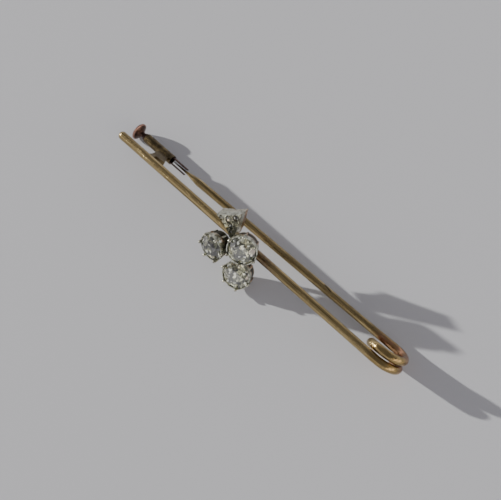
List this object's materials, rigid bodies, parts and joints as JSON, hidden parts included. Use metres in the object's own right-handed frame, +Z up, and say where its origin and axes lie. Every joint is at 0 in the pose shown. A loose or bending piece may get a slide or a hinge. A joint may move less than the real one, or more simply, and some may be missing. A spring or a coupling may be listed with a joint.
{
  "type": "bar brooch",
  "caption": "Bar brooch of round wire with a coil-sprung pin behind the bar, a sliding tube catch and a shamrock of claw-set cut stones with a stone-set stem.",
  "frame": {"origin": "bottom centre of the bounding box, on the surface that the brooch lies on", "axes": "+X along the bar from the catch to the spring, +Z up as the brooch lies, +Y toward the side that the pin is on"},
  "size_m": [0.0564, 0.011, 0.0114],
  "materials": {
    "yellow_gold": "polished, lightly worn",
    "mount_metal": "pale white-topped gold, polished",
    "diamond": "polished facets"
  },
  "bodies": {
    "brooch": {"bar_and_catch": "yellow_gold", "shamrock_mount": "mount_metal", "leaf_stone_left": "diamond", "leaf_stone_right": "diamond", "leaf_stone_front": "diamond", "stem_stone_1": "diamond", "stem_stone_2": "diamond", "stem_stone_3": "diamond", "stem_stone_4": "diamond", "stem_stone_5": "diamond"},
    "pin": {"pin_stem": "yellow_gold"},
    "slider": {"catch_slider": "yellow_gold"}
  },
  "joints": [
    {"name": "pin_swing", "type": "hinge", "parent": "brooch", "child": "pin", "pos_m": [0.02501, 0.00159, 0.00254], "axis": [0.0485, -0.8806, -0.4713], "range_deg": [0, 20], "stiffness_Nm_per_rad": 0.2},
    {"name": "catch_slide", "type": "slide", "parent": "brooch", "child": "slider", "axis": [-1, 0, 0.0082], "range_m": [0, 0.003]}
  ]
}
